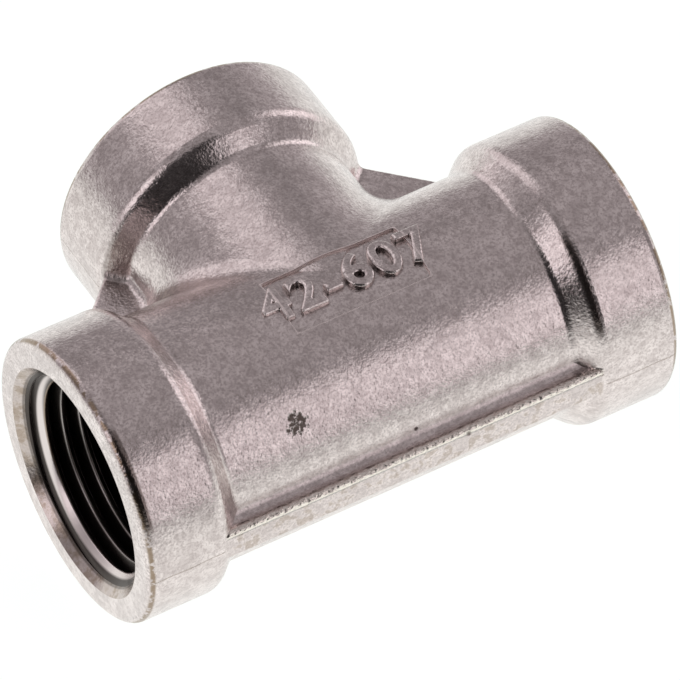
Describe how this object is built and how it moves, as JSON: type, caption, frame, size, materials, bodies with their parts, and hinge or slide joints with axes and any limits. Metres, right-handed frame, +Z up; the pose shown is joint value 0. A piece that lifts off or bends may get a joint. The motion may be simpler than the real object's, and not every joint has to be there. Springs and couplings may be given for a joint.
{
  "type": "pipe tee",
  "caption": "Cast stainless pipe tee with a banded, internally threaded mouth at both ends of the run and on the branch, a rib behind the run and webs in the crotches.",
  "frame": {"origin": "where the axes of the run and the branch cross, in the middle of the run", "axes": "+X along the run, +Y out of the branch's mouth, +Z up, square to the parting plane that holds both axes"},
  "size_m": [0.0456, 0.0342, 0.0228],
  "materials": {
    "cast_steel": "satin, blasted investment casting in stainless steel with a fine grain"
  },
  "bodies": {
    "root": {"tee_body": "cast_steel"}
  },
  "joints": []
}
